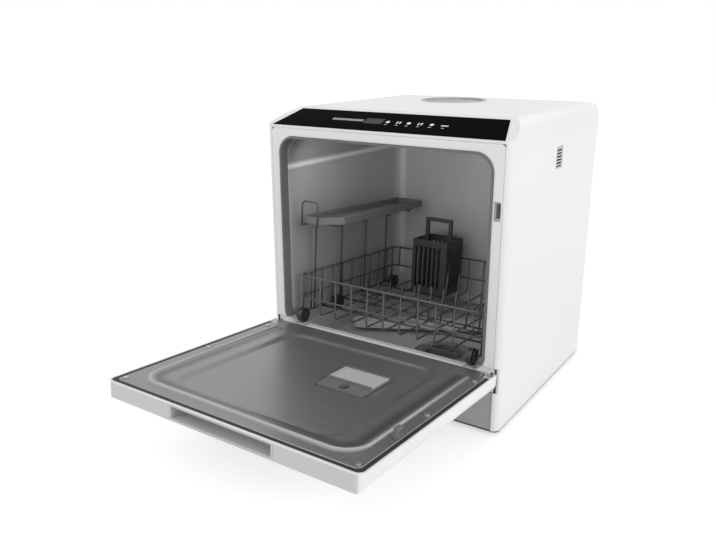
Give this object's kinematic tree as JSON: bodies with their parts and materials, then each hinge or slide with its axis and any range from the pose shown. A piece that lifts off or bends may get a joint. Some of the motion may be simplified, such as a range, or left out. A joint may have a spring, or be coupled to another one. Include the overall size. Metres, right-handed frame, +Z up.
{
  "type": "countertop dishwasher",
  "caption": "Compact countertop dishwasher with a drop-down door, sloped control panel, pull-out wheeled wire rack, folding cup shelf and a top water filler.",
  "frame": {"origin": "middle of the footprint at rest (door open, rack in), on the floor under the feet", "axes": "+Z up, -Y the way the door faces and opens, +X to the right as seen from the front"},
  "size_m": [0.4, 0.7486, 0.4362],
  "materials": {
    "white_shell": "smooth",
    "white_metal": "smooth white paint",
    "frame_grey": "satin",
    "kick_grey": "matte",
    "dark_metal": "matte",
    "back_grey": "matte",
    "screw_metal": "plated",
    "black_glass": "glossy",
    "dark_plastic": "matte",
    "board": "matte",
    "black_rubber": "soft",
    "tub_steel": "brushed",
    "lamp_lens": "smooth",
    "grey_plastic": "satin",
    "light_plastic": "satin",
    "tank_plastic": "milky",
    "heater_metal": "satin",
    "motor_metal": "satin",
    "liner_grey": "satin",
    "rack_coating": "coated wire",
    "wheel_dark": "satin"
  },
  "bodies": {
    "machine": {"casing": "white_metal", "front_frame": "frame_grey", "kick_plate": "kick_grey", "base_pan": "dark_metal", "feet": "black_rubber", "rear_cover": "back_grey", "rear_screws": "screw_metal", "control_glass": "black_glass", "control_tray": "dark_plastic", "display_board": "board", "door_gasket": "black_rubber", "tub": "tub_steel", "tub_lamp": "lamp_lens", "filler_bowl": "light_plastic", "water_tank": "tank_plastic", "sump": "dark_plastic", "filter_plate": "tub_steel", "spray_pedestal": "grey_plastic", "wash_pump": "dark_plastic", "wash_motor": "motor_metal", "flow_heater": "heater_metal", "drain_pump": "dark_plastic", "pump_hose": "black_rubber", "wash_hose": "black_rubber", "drain_hose": "black_rubber", "tank_hose": "black_rubber", "inlet_valve": "light_plastic", "water_inlet": "light_plastic", "drain_spigot": "dark_plastic", "cord_gland": "dark_plastic", "power_board": "board", "fan_housing": "dark_plastic", "vent_insert": "light_plastic", "hinge_brackets": "screw_metal", "hinge_pins": "screw_metal", "latch_catch": "dark_plastic"},
    "door": {"door_shell": "white_shell", "door_liner": "liner_grey", "door_seal": "black_rubber", "door_handle": "grey_plastic", "hinge_arms": "screw_metal", "dispenser_cup": "grey_plastic", "latch_hook": "dark_plastic", "door_screws": "screw_metal"},
    "dispenser_cover": {"dispenser_lid": "light_plastic"},
    "rack": {"rack_basket": "rack_coating", "plate_tines": "rack_coating", "axle_brackets": "wheel_dark", "shelf_posts": "rack_coating"},
    "wheels_front": {"front_wheels": "wheel_dark"},
    "wheels_middle": {"middle_wheels": "wheel_dark"},
    "wheels_rear": {"rear_wheels": "wheel_dark"},
    "shelf": {"cup_shelf": "grey_plastic"},
    "cutlery": {"cutlery_basket": "dark_plastic"},
    "spray": {"spray_arm": "light_plastic"},
    "filter": {"filter_cup": "grey_plastic"},
    "filler_cover": {"filler_lid": "light_plastic"},
    "float": {"float_cup": "light_plastic"},
    "pump_rotor": {"wash_rotor": "light_plastic"},
    "fan_rotor": {"fan_wheel": "dark_plastic"}
  },
  "joints": [
    {"name": "door_hinge", "type": "hinge", "parent": "machine", "child": "door", "pos_m": [0, -0.04974, 0.08868], "axis": [-1, 0, 0], "range_deg": [0, 86]},
    {"name": "rack_slide", "type": "slide", "parent": "machine", "child": "rack", "axis": [0, 0.9976, -0.0698], "range_m": [-0.243, 0]},
    {"name": "front_wheel_roll", "type": "hinge", "parent": "rack", "child": "wheels_front", "pos_m": [0, -0.0254, 0.10703], "axis": [-1, 0, 0], "continuous": true},
    {"name": "middle_wheel_roll", "type": "hinge", "parent": "rack", "child": "wheels_middle", "pos_m": [0, 0.07236, 0.10019], "axis": [-1, 0, 0], "continuous": true},
    {"name": "rear_wheel_roll", "type": "hinge", "parent": "rack", "child": "wheels_rear", "pos_m": [0, 0.25641, 0.08732], "axis": [-1, 0, 0], "continuous": true},
    {"name": "shelf_fold", "type": "hinge", "parent": "rack", "child": "shelf", "pos_m": [-0.1532, 0.12114, 0.24574], "axis": [0, -0.9976, 0.0698], "range_deg": [0, 85]},
    {"name": "cutlery_lift", "type": "slide", "parent": "rack", "child": "cutlery", "axis": [0, 0.0698, 0.9976], "range_m": [0, 0.12]},
    {"name": "spray_spin", "type": "hinge", "parent": "machine", "child": "spray", "pos_m": [0, 0.1353, 0.07], "axis": [0, 0, 1], "continuous": true},
    {"name": "filter_turn", "type": "hinge", "parent": "machine", "child": "filter", "pos_m": [0.06, 0.0653, 0.04], "axis": [0, 0, 1], "range_deg": [0, 60]},
    {"name": "filler_lid_hinge", "type": "hinge", "parent": "machine", "child": "filler_cover", "pos_m": [-0.03, 0.2903, 0.432], "axis": [-1, 0, 0], "range_deg": [0, 100]},
    {"name": "float_rise", "type": "slide", "parent": "machine", "child": "float", "axis": [0, 0, 1], "range_m": [0, 0.012]},
    {"name": "dispenser_slide", "type": "slide", "parent": "door", "child": "dispenser_cover", "axis": [-1, 0, 0], "range_m": [0, 0.042]},
    {"name": "pump_spin", "type": "hinge", "parent": "machine", "child": "pump_rotor", "pos_m": [-0.06, 0.0653, 0.03245], "axis": [1, 0, 0], "continuous": true},
    {"name": "fan_spin", "type": "hinge", "parent": "machine", "child": "fan_rotor", "pos_m": [0.185, 0.1343, 0.318], "axis": [1, 0, 0], "continuous": true}
  ],
  "couplings": [
    {"joint": "front_wheel_roll", "follows": "rack_slide", "rad_per_m": 85.47},
    {"joint": "middle_wheel_roll", "follows": "rack_slide", "rad_per_m": 85.47},
    {"joint": "rear_wheel_roll", "follows": "rack_slide", "rad_per_m": 85.47}
  ]
}
